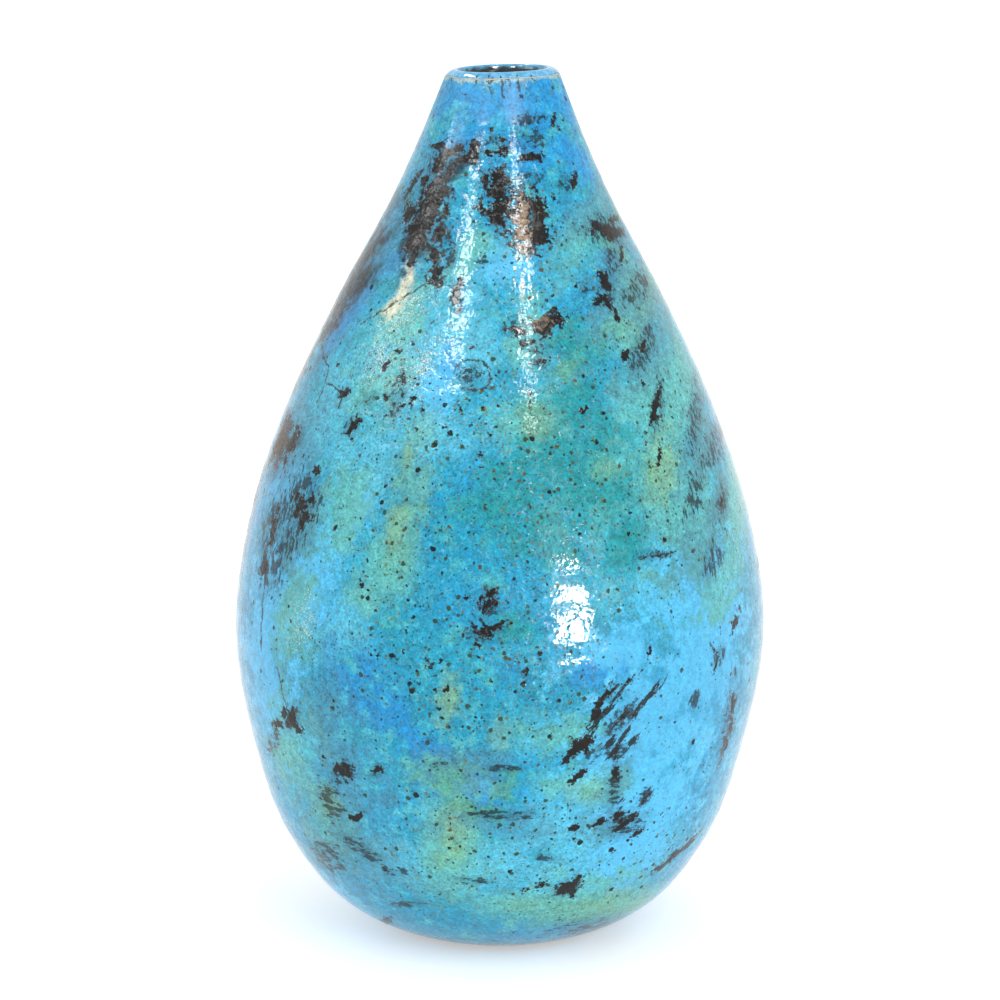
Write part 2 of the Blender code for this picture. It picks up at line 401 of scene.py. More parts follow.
# Solid smoked patches, as (azimuth, height, half length, half width, lean).
DARK = [
    (-66, 176, 6, 3, 80), (-75, 175, 9, 8, 84), (-88, 158, 8, 8, 90), (-90, 140, 10, 7, 90),
    (-19.5, 275, 4.8, 2.1, 90), (-30.5, 275.5, 3.3, 1.9, 15), (-25, 272, 3.4, 1.9, 30),
    (-46.5, 276, 5.3, 1.9, 15), (-39.5, 274, 3.4, 1.7, 0), (-42.5, 269.5, 5, 3.8, 70),
    (-34, 268.5, 2.7, 1.7, 70), (-38, 265, 3.8, 2.4, -5), (-48, 259, 2, 1.3, 25),
    (-60.5, 262, 5.1, 2.9, 70), (-42.5, 261.5, 4.2, 3.2, -70), (-42.5, 255, 5.5, 4.2, -80),
    (-42.5, 249.5, 6.5, 4.9, -65), (-41, 244, 5.2, 3.8, -60), (-39.5, 240, 3.3, 2.1, -65),
    (-31, 261, 3.2, 1, -40), (-37.5, 251.5, 4.2, 2.8, -10), (-39.5, 257, 8.9, 6.7, -85),
    (-39, 246.5, 7, 4.4, -80), (-29, 249, 4.2, 2.7, -80), (-29.5, 241.5, 3.3, 2.6, -65),
    (-29, 255.5, 4.1, 2.3, -90), (-53, 253.5, 4.2, 3.9, 0), (-33, 261.5, 3.3, 2.5, 70),
    (-49.5, 264.5, 3.3, 3, 0), (1, 278.5, 1.7, 1.4, 0), (-3, 274.5, 4.3, 1.4, 0),
    (-9, 275, 2, 1.4, 0), (2, 275.5, 2.3, 1.4, 0), (19.5, 273, 4.9, 1.8, -5),
    (25.5, 272, 2.1, 1.1, -20), (14.5, 273, 2.4, 1.7, 5), (-9.5, 266, 2.7, 2.1, 80),
    (-0.5, 269, 2.4, 2.3, 0), (1, 266, 3, 1.7, -30), (-0.5, 262, 4.2, 3.6, 0),
    (-4, 261.5, 2.6, 2.1, 0), (2.5, 259.5, 3, 2.8, 0), (-11, 259.5, 1.4, 1, -55),
    (13, 248, 8.2, 6, 5), (19, 252, 8.5, 2.8, 80), (10, 256, 7.8, 5.6, 75), (-2, 257, 4.2, 4, 0),
    (-2, 266.5, 4, 3.5, 0), (-26.5, 236.5, 4.9, 3, -80), (12.5, 258, 5.3, 4.4, 75),
    (8.5, 255, 6, 3, 85), (18, 255.5, 7.1, 2.1, 80), (10, 249.5, 4.3, 4, 0),
    (10.5, 245.5, 5.7, 2.8, 0), (18, 246.5, 2.1, 1.4, 5), (-0.5, 253, 3.4, 3.1, 0),
    (-6.5, 255.5, 4.1, 2, -30), (2, 250.5, 2.7, 1, -55), (4, 255, 3.5, 2, 90),
    (46.5, 264.5, 3.9, 1.3, 55), (29.5, 259.5, 2.1, 1, -20), (46.5, 285.5, 1.3, 0.9, 10),
    (41, 283, 1.2, 0.9, 5), (54.5, 283.5, 1.3, 0.9, 20), (47, 281.5, 1, 0.9, 10),
    (58.5, 248, 8.4, 2.7, -10), (51.5, 249.5, 4.4, 1.8, 0), (65.5, 246.5, 6.6, 2.1, 0),
    (59.5, 245.5, 3.6, 1.7, 5), (72, 250.5, 5.7, 1.6, 0), (59.5, 239, 4.8, 1.1, 40),
    (43.5, 233, 4, 1.8, 40), (43, 234.5, 2.3, 1.4, 5), (44, 231, 2.8, 1.4, 30),
    (38.5, 227.5, 2.9, 1.4, 45), (41, 225.5, 3.7, 1.4, -65), (43, 221.5, 2.7, 1.1, -90),
    (36, 226.5, 1.7, 1, 5), (29.5, 232.5, 1.9, 0.9, 60), (31, 233, 1.2, 0.9, 5),
    (16.5, 222, 6.9, 3.4, 5), (13.5, 220, 4.7, 3.1, 0), (5.5, 219.5, 3.3, 2, 10),
    (7.5, 215.5, 3, 1.7, 20), (19.5, 222, 3.5, 2.4, 5), (10.5, 216, 2, 1.7, 0),
    (11.5, 210, 2, 1, 10), (13.5, 209.5, 1.3, 0.9, 0), (-17, 231, 3.5, 1.7, -90),
    (-16, 233.5, 2.7, 1.4, 70), (-16, 228, 2, 1.4, 0), (-14.5, 224.5, 1.4, 1, -5),
    (-34, 211.5, 1.6, 1, -5), (-33, 215.5, 1.2, 0.9, -15), (-36, 208, 1, 0.9, 70),
    (-37, 206, 1.2, 0.9, 90), (-29.5, 202, 1.1, 0.9, -45), (-28.5, 198.5, 1, 0.9, -5),
    (-4.5, 185, 1, 0.9, 0), (-9.5, 213.5, 1.3, 0.9, 10), (-41.5, 187.5, 2.6, 2, 25),
    (-43, 185.5, 1.7, 1.4, 55), (-49, 196, 2.7, 1.9, 5), (-41, 189.5, 1.8, 1.3, -10),
    (-51, 171, 2.2, 1.9, 0), (-53, 159.5, 4, 3.4, 0), (-50, 156.5, 3, 2.7, 0),
    (-55.5, 161.5, 3.1, 2.1, 45), (-51, 154, 2.3, 1.6, -85), (-50, 162, 3, 1.4, -50),
    (-54, 156.5, 2.7, 2.4, 0), (-39.5, 161, 1.7, 0.9, 65), (-40, 154.5, 1.4, 0.9, 50),
    (-62.5, 148.5, 7.4, 3.2, -85), (-63.5, 135.5, 5.4, 3.3, -85), (-2, 138.5, 2.6, 1.6, 20),
    (-2.5, 135, 2.9, 1.3, 70), (-1, 136, 1.9, 1.3, 0), (-7, 137, 1.6, 0.9, 0),
    (-3, 125.5, 3.6, 1.6, -20), (-5, 127, 3.2, 1, -65), (-4.5, 123, 1.9, 1.3, -90),
    (-1, 127.5, 3.9, 1.6, 25), (2, 129, 1.3, 1, 30), (-2.5, 128, 2.3, 1.6, 0), (-4, 136.5, 1, 1, 0),
    (-18, 113.5, 1.3, 0.9, 90), (-14, 114.5, 1, 0.9, 85), (-10.5, 107.5, 1.3, 0.9, 90),
    (-25.5, 116, 1.3, 0.9, 90), (-22.5, 116.5, 1.2, 0.9, 45), (-30.5, 138.5, 1.3, 0.9, -80),
    (-12, 100.5, 1, 0.9, 25), (4, 117, 1.3, 0.9, -90), (5.5, 113.5, 1.6, 0.9, 75),
    (5, 109.5, 1, 0.9, 80), (8.5, 119, 1, 0.9, 50), (23, 194, 1.5, 1.3, 0), (24, 195, 1.5, 0.9, 25),
    (-36.5, 73.5, 4.3, 2.7, 30), (-38.5, 73.5, 3.3, 2.2, 45), (-35.5, 72.5, 3.2, 2.2, 50),
    (-41.5, 77, 1.3, 1.1, -60), (-27, 76.5, 2.4, 1.4, 20), (-51, 87.5, 5.9, 2.2, 50),
    (-52.5, 89.5, 3.1, 2.6, 85), (-48.5, 85, 3, 2.4, -80), (-56, 84, 4.5, 1.7, 20),
    (32.5, 116.5, 3, 0.9, 55), (17.5, 88, 3.9, 3.1, -20), (19, 88.5, 2.8, 2.2, -10),
    (16, 85, 3.3, 2.3, 45), (14.5, 82.5, 2.3, 1, 35), (17, 76, 3.3, 1.6, 25),
    (18, 77.5, 2, 1.5, 10), (15.5, 74.5, 1.6, 1.3, -60), (24, 58, 3.1, 1.4, 10),
    (22.5, 57, 2.3, 1.5, -20), (17.5, 57, 2.3, 1.2, 15), (32, 57.5, 3.8, 1.9, 25),
    (29.5, 55.5, 4.7, 1.4, 30), (34.5, 51.5, 3.7, 1.2, 15), (28, 60, 2.3, 1.9, -60),
    (26, 76, 3.8, 1.5, -80), (18.5, 34, 4, 3.1, 35), (20.5, 36.5, 2.7, 2, -70),
    (16.5, 32.5, 3, 1.9, -20), (20.5, 30, 2.8, 1.4, -60), (11, 35, 2.7, 1.4, 35),
    (7, 33.5, 1.3, 0.9, 10), (60.5, 119.5, 4.9, 1.9, 35), (52.5, 110.5, 3.3, 0.9, -50),
    (51.5, 106, 2, 0.9, 65), (61, 88.5, 5.2, 2, -80), (62, 82, 4.1, 1.4, -20),
    (62, 75, 4.3, 1.5, 90), (48.5, 194.5, 7.9, 1.6, 50), (46, 191, 4.5, 1.5, 60),
    (44, 188.5, 2.2, 1.1, 30), (43.5, 178, 3.2, 0.9, 65), (63.5, 158.5, 4.1, 1.4, 35),
    (62.5, 148.5, 2.3, 1.1, -40), (41, 209.5, 2.7, 1.4, 25), (51, 211.5, 4.3, 0.9, 35),
    (45, 200.5, 2, 1, -90), (28.5, 193, 1, 0.9, -55), (87, 130.5, 10.6, 2.3, 0),
    (-43, 11.5, 7.6, 2, 45), (-34, 57.5, 3.9, 0.9, 45), (-36, 56.5, 2, 1, 0),
    (-33, 196.5, 1.2, 0.9, 0), (58.5, 40.5, 3.7, 2.1, 30), (52.5, 37.5, 3.9, 2.2, 20),
    (47, 34, 3.5, 2, 15), (21.5, 102.5, 5.9, 1.5, 50), (20, 97, 3.3, 1.9, 50),
    (23.5, 105, 3.3, 1.1, 45), (27, 107.5, 2.7, 0.9, 40),
]

# Round smoked flecks, as (azimuth, height), and their radius in mm.
FLECK_RADIUS = 0.9
FLECKS = [
    (-8, 282), (17.5, 292), (-29, 214.5), (-31.5, 196), (-27.5, 195), (-25, 194.5), (-21.5, 194.5),
    (-22, 196), (-25, 197.5), (-32, 191), (-29.5, 190), (-1, 190), (-2.5, 188), (-1, 185),
    (-5, 181.5), (-4.5, 177.5), (-15, 116), (-12, 116), (-16.5, 108), (-17, 112.5), (-18.5, 108),
    (-13, 106.5), (-27, 116), (-20, 118.5), (-29, 137.5),
]

# Thinly smoked, lacy areas around them.
LACE = [
    (26, 94.5, 10.5, 4, 45), (20.5, 83.5, 6.5, 3.2, 40), (-25.5, 274.5, 7.7, 5.1, 15),
    (-40.5, 269, 8, 7.4, 0), (-44, 258.5, 10.3, 8.6, -75), (-29.5, 246.5, 12.2, 6.4, -75),
    (-23, 242, 6.5, 3.5, -75), (-42.5, 247, 11.4, 5.4, -75), (-1.5, 277, 7.3, 3.5, 0),
    (20, 278.5, 7.8, 4.1, 0), (22, 285, 7.9, 2.8, 0), (2, 261, 9, 7.3, 90), (9, 252, 12, 8.6, 85),
    (16.5, 266, 5.6, 3.5, 0), (38.5, 263.5, 5.3, 3.8, 50), (57.5, 247.5, 14.6, 6.4, -10),
    (51.5, 238.5, 11.8, 3.7, 45), (42, 230, 9.1, 4.6, 50), (63.5, 229.5, 16.3, 5, 20),
    (33, 232, 3.6, 2.8, 40), (5.5, 220.5, 5.3, 4.1, 0), (11, 215, 4.7, 4.1, 0),
    (12, 209.5, 4, 2, 0), (-16, 229.5, 8.3, 3.1, 90), (-7.5, 240.5, 4.6, 1.4, 0),
    (-9, 205.5, 5, 4.1, -5), (-30, 198, 11.3, 3.5, 90), (-39, 195.5, 4.2, 2.5, 45),
    (-43, 187, 4.7, 3.7, 60), (-49, 196.5, 4.5, 2.7, 15), (-53.5, 159.5, 17.5, 12.7, -75),
    (-61, 147.5, 21.5, 14.8, -80), (-55, 150.5, 13.3, 9.8, -85), (-2.5, 135, 6.5, 4.5, 80),
    (-3.5, 125.5, 7.1, 3.9, 0), (-50.5, 87.5, 9.3, 4.3, 45), (-61, 75.5, 10.2, 3.8, 35),
    (-42, 61, 10.7, 6.3, -85), (-51.5, 36, 14.7, 8.1, 20), (-27, 38, 6.6, 2.6, 15),
    (-27, 76, 4, 2.8, 25), (-36.5, 73, 6.7, 4.1, 30), (50.5, 210.5, 14, 4.7, 35),
    (47.5, 191.5, 13.1, 3.5, 55), (63.5, 185.5, 23.1, 4.4, 40), (73.5, 176.5, 30, 5.5, 15),
    (52.5, 163.5, 13.1, 4.8, 50), (64, 159, 12.5, 4.4, 30), (55.5, 143, 11.5, 5.4, 45),
    (36, 147.5, 9.1, 2, -5), (25.5, 84, 4.8, 3.6, 15), (26.5, 69.5, 11.6, 2.6, -85),
    (35, 65, 4.7, 2.9, 70), (30.5, 55.5, 9.1, 6.3, 15), (18, 33.5, 6, 4.2, 20),
    (60.5, 84.5, 18.4, 6.7, -85), (45.5, 97, 4.6, 2.7, 70), (53, 110, 5.1, 3.4, 40),
    (0.5, 80, 8.5, 1.8, 0), (-12.5, 81, 4.7, 1.5, 5), (0.5, 63, 13.8, 2.3, 0),
    (11, 46.5, 7.4, 1.9, -25), (-36, 44.5, 10.8, 4.7, -20), (43, 8.5, 30.5, 9.2, -25),
    (-26.5, 24.5, 10.1, 2.1, 15), (-6, 37.5, 8.7, 1.9, 0),
]

# Brush-like diagonal strokes.
STROKE = [
    (22.5, 98.5, 11.7, 1.4, 50), (18.5, 91, 4.6, 1.5, 45), (26, 95.5, 6.5, 1.4, 50),
    (20.5, 98, 3, 1, 65), (29, 110, 4.3, 0.7, 20), (31.5, 100.5, 10.6, 2.1, 45),
    (27, 89.5, 5.9, 1.6, 40), (23.5, 86.5, 6.7, 2, 25), (29, 85.5, 4.6, 1.3, 50),
    (25.5, 83.5, 4.7, 2.5, 65), (35, 65, 4, 1.5, 65), (28.5, 65.5, 3.6, 1.2, 85),
]

# Where the specks lie thickest.
BUSY = [
    (-12, 123, 37, 23, 5), (0, 149, 36, 26, 0), (15, 177, 30, 23, 0), (-29, 197, 26, 20, -5),
    (42, 170, 33, 20, 50), (-17, 148, 27, 19, 5), (-4, 97, 29, 21, 5), (12, 110, 20, 17, -10),
    (5, 50, 40, 24, -5), (36, 49, 31, 18, -30), (-5, 192, 27, 26, 0), (34, 218, 25, 20, 20),
    (17, 244, 22, 20, 0),
]

# Where each hue of the glaze pooled.
DEEP = [
    (2, 290, 35, 19, 0), (42, 275, 18, 9, 0), (-32, 281, 13, 11, 70), (53, 271, 10, 8, -60),
    (-25, 99, 22, 8, -45), (-16, 86, 11, 5, -15), (-63, 224, 21, 7, 70), (-4, 72, 13, 6, 0),
    (-15, 210, 5, 3, -90), (21, 112, 9, 4, 0), (-49, 239, 7, 5, 80),
]
SKY = [
    (49, 108, 43, 27, 85), (34, 92, 31, 26, -90), (38, 65, 24, 23, 0), (24, 117, 20, 11, 0),
    (-60, 112, 36, 20, 75), (-46, 133, 17, 12, -90), (-63, 224, 23, 8, 70), (36, 47, 18, 16, 0),
    (-63, 13, 16, 13, -50), (-64, 165, 12, 8, 40), (-34, 162, 8, 5, 60), (-18, 204, 13, 6, 90),
    (2, 240, 9, 6, 0), (-57, 96, 19, 11, 45),
]
CYAN = [
    (-47, 184, 12, 6, 0), (-49, 153, 8, 5, -65), (-51, 192, 31, 16, 70), (-18, 188, 14, 9, 0),
    (-42, 176, 13, 9, 0), (0, 50, 16, 8, 0), (-43, 235, 7, 6, 0), (-19, 213, 27, 15, 85),
    (-34, 176, 15, 10, -85), (-41, 149, 16, 12, -80), (37, 135, 19, 9, -10), (22, 46, 25, 14, -5),
    (0, 42, 30, 12, 0), (-44, 211, 17, 12, 50), (16, 59, 16, 11, -15), (-22, 41, 21, 11, 15),
    (-1, 240, 10, 8, 0), (-34, 126, 13, 10, 75), (31, 42, 23, 14, 0), (16, 35, 20, 12, 5),
    (-46, 143, 10, 10, 0), (-7, 216, 14, 7, -85),
]
TEAL = [
    (3, 127, 8, 6, 0), (28, 153, 11, 8, 70), (20, 196, 23, 12, 75), (15, 179, 22, 16, 70),
    (25, 166, 16, 11, 45), (4, 168, 18, 14, 0), (10, 154, 13, 8, 0), (23, 213, 11, 8, 65),
    (-4, 73, 14, 9, 5), (26, 185, 14, 9, 65), (-78, 229, 22, 10, 10),
]
GREEN = [
    (-22, 173, 18, 8, -85), (-21, 152, 15, 7, -90), (-10, 103, 10, 4, 85), (-9, 75, 15, 10, 5),
    (-11, 57, 17, 8, 80), (32, 20, 35, 9, -10), (66, 225, 33, 6, 15), (27, 176, 6, 4, 0),
    (19, 206, 7, 5, 5), (20, 69, 7, 4, -15), (-46, 60, 7, 7, 0), (6, 27, 14, 6, -5),
    (-21, 185, 10, 6, 90), (42, 170, 14, 7, 55), (58, 236, 20, 9, 60), (50, 218, 14, 8, 50),
]
AQUA = [
    (14, 74, 9, 5, -10), (26, 35, 14, 6, -20), (55, 194, 55, 19, 35), (50, 161, 34, 19, 45),
    (72, 157, 49, 14, 20), (-37, 221, 21, 11, 55), (-40, 162, 15, 11, -85), (-27, 143, 16, 10, 85),
    (8, 191, 14, 12, 5), (9, 218, 15, 7, 85), (-48, 125, 18, 11, 90), (-52, 78, 22, 14, 65),
    (27, 25, 35, 11, -5), (-11, 49, 23, 12, 75), (22, 73, 13, 8, -15), (59, 225, 36, 8, 25),
    (58, 136, 20, 12, 35), (-38, 200, 13, 11, 70), (-13, 244, 8, 5, 70), (40, 246, 22, 6, 40),
    (13, 91, 17, 7, -5), (-45, 47, 16, 13, 55),
]
DUSK = [
    (54, 255, 19, 6, 25), (70, 223, 28, 7, 10), (-63, 240, 19, 13, 85), (-46, 249, 19, 12, -80),
    (43, 226, 22, 7, 45), (-61, 177, 19, 14, -55), (-54, 152, 18, 12, -85), (-36, 76, 28, 17, -65),
    (-39, 43, 26, 20, -25), (-2, 60, 26, 7, 0), (-10, 80, 19, 7, 5), (27, 58, 14, 7, -15),
    (-38, 93, 15, 8, -80), (47, 143, 17, 11, 15), (68, 245, 36, 5, 15), (-41, 270, 17, 7, 0),
    (59, 211, 28, 7, 25), (62, 179, 28, 8, 35), (26, 75, 14, 7, 70), (62, 158, 22, 7, 40),
]

# Small yellow-green stains, and bands almost black: down the left edge painted shade laid over smoke,
# on the shoulder smoke.
MOSS = [
    (-24, 157, 7, 4, -90), (-23, 179, 5, 3, -85), (-10, 102, 8, 4, 85), (-11, 55, 10, 4, 80),
    (44, 175, 13, 6, 55), (51, 18, 24, 6, -20), (-41, 60, 5, 5, 0), (0, 92, 8, 4, 80),
    (10, 192, 7, 5, 0),
]
SMOKE_AND_SHADE = [
    (-72, 230, 26, 12, 90), (-82, 226, 30, 16, 90), (-92, 196, 20, 12, 80),
    (-75, 175.5, 11, 14, 84), (-84, 140, 14, 7, 90), (-43, 246, 12, 5, -80), (-33, 268, 8, 3, 45),
]

# Painted highlights: pale cream streaks on the shoulder, where a ridge of glaze catches the light.
PAINTED_HIGHLIGHTS = [
    (-40, 229, 9, 3, 85), (-39, 235, 4, 2, -85), (-41, 224, 4, 3, 55), (8, 233, 4, 1, 85),
]

# Where the surface is rippled, and where it is also crinkled and painted with pale glints.
RIPPLE = [
    (10, 160, 16, 14, 0), (18, 167, 13, 10, 80), (-14, 201, 20, 10, 90), (8, 271, 21, 5, 85),
    (-18, 263, 34, 6, 85), (-21, 238, 17, 6, 80), (8, 220, 31, 5, 85), (8, 192, 20, 5, 85),
]
CRINKLE_AND_GLINTS = [
    (-37, 222, 20, 9, 50), (-26, 206, 20, 10, 70), (-39, 208, 13, 11, 70), (-46, 123, 14, 10, 75),
    (-39, 228, 10, 4, 85), (-40, 226, 5, 3, 75), (8, 233, 9, 2, 85),
]

# Where the smoked patches have a bronze lustre, laid along the highlights that cross them: partly the
# soot's own lustre, partly a painted golden highlight.
BRONZE_AND_SHEEN = [
    (10, 252, 13, 3, 85), (13, 222, 5, 3, 0), (-35, 275, 5, 2, -90), (-75, 175, 13, 12, 84),
]

# The marks of each kind, and for those strewn on the far side the seed, the count, the longest half
# length in mm and the leans. A fleck is a mark as wide as it is long.
flecks = [(turn, up, FLECK_RADIUS, FLECK_RADIUS, 0) for turn, up in FLECKS]
KINDS = (
    ("dark", DARK + flecks, 3, 60, 11, (80, 20)),
    ("lace", LACE, 4, 40, 26, (80, 10)),
    ("stroke", STROKE, 5, 14, 16, (50,)),
    ("busy", BUSY, 6, 30, 45, (0,)),
    ("deep", DEEP, 7, 14, 40, (0, 80)),
    ("sky", SKY, 8, 14, 40, (0, 80)),
    ("teal", TEAL, 9, 12, 40, (0, 80)),
    ("green", GREEN, 10, 16, 28, (0, 80)),
    ("aqua", AQUA, 11, 20, 44, (80,)),
    ("dusk", DUSK, 12, 14, 40, (80,)),
    ("cyan", CYAN, 13, 14, 44, (80,)),
    ("moss", MOSS, 16, 10, 12, (80,)),
    ("tarnish", SMOKE_AND_SHADE, 17, 8, 26, (80,)),
    ("ripple", RIPPLE, 18, 6, 40, (80,)),
    ("crinkle", CRINKLE_AND_GLINTS, 15, 10, 40, (80,)),
    ("bronze", BRONZE_AND_SHEEN, 14, 8, 20, (80,)),
)
fields = {name: marked(marks + strewn(*far_side)) for name, marks, *far_side in KINDS}
# painted highlight: the mask of the pale cream streaks
fields["painted_highlight"] = marked(PAINTED_HIGHLIGHTS)

# Thin dark cracks, each a run of (azimuth, height) points. Those at the top cross the lip.
LIP_CRACKS = [
    ((-27, 298.8), (-25.5, 296.9), (-26.5, 295.9)),
    ((-14, 299.0), (-12.5, 296.6)),
    ((-10, 298.4), (-11.5, 295.8), (-10, 293.2)),
    ((-1.5, 298.7), (0.5, 296), (-0.5, 293.9), (2, 291.8)),
    ((6, 298.2), (7.5, 295.9)),
    ((15.5, 298.9), (14, 296.3), (16.5, 294.4)),
    ((31, 298.6), (32.5, 297)),
]
CRACKS = [
    ((-77.5, 210.5), (-67.5, 204.5), (-61.5, 202.5), (-59.5, 198), (-60.5, 191.5)),
    ((-59.5, 198), (-50, 196.5), (-49.5, 191.5)),
    ((-62, 145), (-61.5, 132), (-61, 124), (-60.5, 108.5)),
    ((-53.5, 104.5), (-51.5, 92)),
    ((63, 43.5), (60.5, 40.5), (52.5, 36.5), (47.5, 32.5)),
    ((61.5, 91.5), (61.5, 83.5), (60.5, 77), (59.5, 67)),
    ((50, 114.5), (52.5, 110), (51.5, 106)),
    ((-28.5, 251), (-24.5, 248), (-20.5, 245), (-20.5, 240.5), (-22.5, 238)),
    ((-53, 218), (-41.5, 225.5), (-31.5, 231.5), (-22, 235.5)),
    ((32, 146.5), (37, 147), (42.5, 147.5)),
    ((-13.5, 207), (-12.5, 209.5), (-9.5, 210.5), (-5.5, 210), (-3, 207.5), (-3, 204.5),
     (-4.5, 202), (-8, 200.5), (-11, 201.5)),
    ((-3.5, 253), (-2, 249.5), (2, 248)),
    ((-1, 269), (3.5, 265.5), (5.5, 263)),
    *LIP_CRACKS,
]


def crack_distance(cracks, azimuth, along, radius):
    """Distance in mm to the nearest crack, and the same with a minus sign to the right of it.

    The distance to a straight stretch is taken from the nearest of its points, whose share of the
    way along it is kept between 0 and 1.
    """
    nearest = np.full(azimuth.shape, 9.0)
    signed = nearest.copy()
    for crack in cracks:
        for (turn, up), (next_turn, next_up) in zip(crack, crack[1:]):
            start, end = mark_of(up), mark_of(next_up)
            across = np.radians((azimuth - turn + 180) % 360 - 180) * radius
            over = along - start
            step = np.radians(next_turn - turn) * radius, end - start
            share = (across * step[0] + over * step[1]) / (step[0] ** 2 + step[1] ** 2)
            share = np.clip(share, 0, 1)
            distance = np.hypot(across - share * step[0], over - share * step[1])
            side = np.where(step[0] * over - step[1] * across > 0, 1.0, -1.0)
            signed = np.where(distance < nearest, distance * side, signed)
            nearest = np.minimum(nearest, distance)
    return nearest, np.clip(signed, -4, 4)


fields["near"], fields["crack"] = crack_distance(CRACKS, azimuth, along, radius)
# From 0 to 1: into the sides of the front, down the base, up to the bare line and up the neck.
fields["side"] = np.interp(np.abs(azimuth), (30, 45), (0, 1))
fields["base"] = np.interp(level, (75, 95), (1, 0))
fields["edge"] = np.interp(line_start / MM - along, (0, 2.2), (1, 0))
fields["neck"] = np.interp(level, (282, 287), (0, 1))
for name, values in fields.items():
    give(outer_glaze, name, values)

# A glossy alkaline glaze coloured by copper. Its colour wanders between hues over centimetres and
# curdles over millimetres, and its surface has the fine orange-peel of melted glass.
glaze, shader, put = finish_of("turquoise_raku_glaze")
place = put("TexCoord", out="Object")
field = {name: put("Attribute", out="Fac", attribute_name=name) for name in fields}
# Noises about zero, as (size of the largest feature in mm, detail, roughness, stretch).
NOISES = {
    "drift": (42, 4.0, 0.55),
    "cloud": (13, 7.0, 0.62),
    "patch": (6.5, 6.0, 0.66),
    "curd": (2.6, 4.0, 0.64),
    "grain": (0.85, 2.0, 0.60),
    "glint_grain": (0.50, 1.0, 0.50),
    "torn": (5.0, 9.0, 0.74),
    "fine": (1.5, 5.0, 0.70),
    "upright": (1.3, 5.0, 0.70, (1.0, 1.0, 4.0)),
    "level": (1.5, 5.0, 0.70, (3.0, 3.0, 0.8)),
}
noise = {}
for name, (feature, detail, roughness, *stretch) in NOISES.items():
    spot = place
    if stretch:
        spot = put("Mapping", {"Vector": place, "Scale": stretch[0]}, vector_type="TEXTURE")
    look = {"Scale": 1 / (feature * MM), "Detail": detail, "Roughness": roughness}
    value = put("TexNoise", {"Vector": spot, **look})
    noise[name] = put("Math", (value, 0.5), operation="SUBTRACT")

# The ground of the glaze drifts between two blues.
ramp = put("MapRange", (noise["drift"], -0.1, 0.1))
color = put("Mix", {0: ramp, 6: linear("1FA3C4"), 7: linear("27A4CF")}, **BLEND)
# Clouds of paler and of deeper blue lie a few millimetres across, and under the pools.
for name, start, stop, code, strength in (
    ("patch", 0.02, 0.16, "68D0E0", 0.55),
    ("patch", -0.02, -0.16, "0C8CC4", 0.50),
    ("cloud", 0.04, 0.18, "44B8A8", 0.40),
    ("fine", 0.07, 0.17, "98DAE4", 0.35),
):
    wash = put("MapRange", (noise[name], start, stop, 0.0, strength))
    color = put("Mix", {0: wash, 6: color, 7: linear(code)}, **BLEND)

# Each pool of hue, with the painted highlight and the painted shade laid out the same way: its colour
# and how strong it is. Noise tears its edge.
POOLS = (
    ("cyan", "62CAE6", 0.78),
    ("sky", "5CCAFC", 0.90),
    ("aqua", "68C2B8", 0.78),
    ("teal", "149699", 0.78),
    ("deep", "1E98DC", 0.84),
    ("green", "84BA74", 0.36),
    ("dusk", "4E90A8", 0.56),
    ("moss", "A0BC60", 0.26),
    # painted highlight: the pale cream streaks on the shoulder
    ("painted_highlight", "F0ECCC", 0.80),
    # painted shade: the near-black band down the left edge, over smoke
    ("tarnish", "17171F", 0.93),
)
broken = 0.0
for name, share in (("cloud", 3.6), ("patch", 1.8), ("curd", 0.9)):
    broken = put("Math", (noise[name], share, broken), operation="MULTIPLY_ADD")
broken = put("MapRange", (broken, -0.5, 0.5, -0.5, 0.5))
for number, (name, code, strength) in enumerate(POOLS):
    sign = 1.0 if number % 2 else -1.0
    wash = put("Math", (broken, sign, field[name]), operation="MULTIPLY_ADD")
    ramp = {0: wash, 1: -0.45, 2: 0.75, 3: 0.0, 4: strength}
    wash = put("MapRange", ramp, interpolation_type="SMOOTHSTEP")
    color = put("Mix", {0: wash, 6: color, 7: linear(code)}, **BLEND)

# Just under the lip's bare line the glaze ran thin, and the pale clay shows through.
thin = put("Math", (noise["patch"], 4.0, field["edge"]), operation="MULTIPLY_ADD")
thin = put("MapRange", (thin, 0.35, 1.0, 0.0, 0.75))
top = put("Math", (field["edge"], 0.0), operation="GREATER_THAN")
thin = put("Math", (thin, top), operation="MULTIPLY")
color = put("Mix", {0: thin, 6: color, 7: linear("BCD0C0")}, **BLEND)

# The glaze curdles: its brightness changes by a tenth or two over every size down to the grain,
# less where it is sky blue. Towards the foot it is painted paler, as painted light from the white
# floor.
calm = put("MapRange", (field["sky"], -0.2, 0.6, 1.0, 0.5))
curdle = put("Math", (noise["curd"], 0.94, noise["grain"]), operation="MULTIPLY_ADD")
curdle = put("Math", (curdle, 1.6), operation="MULTIPLY")
# painted light: paler towards the foot, for light bounced up from the floor
curdle_and_floor_light = put("MapRange", {0: field["base"], 3: 0.99, 4: 1.12})
curdle_and_floor_light = put("Math", (curdle, calm, curdle_and_floor_light), operation="MULTIPLY_ADD")
color = put("VectorMath", {0: color, 3: curdle_and_floor_light}, operation="SCALE")

# Painted glints: pale flecks, finer than a millimetre, where the glaze has crinkled and catches the
# light.
painted_glints = put("MapRange", (field["crinkle"], -0.4, 0.8, -0.30, 0.04))
for name, share in (("glint_grain", 1.2), ("torn", 0.8)):
    painted_glints = put("Math", (noise[name], share, painted_glints), operation="MULTIPLY_ADD")
painted_glints = put("MapRange", (painted_glints, 0.09, 0.17, 0.0, 0.8))
color = put("Mix", {0: painted_glints, 6: color, 7: linear("EAF2DC")}, **BLEND)

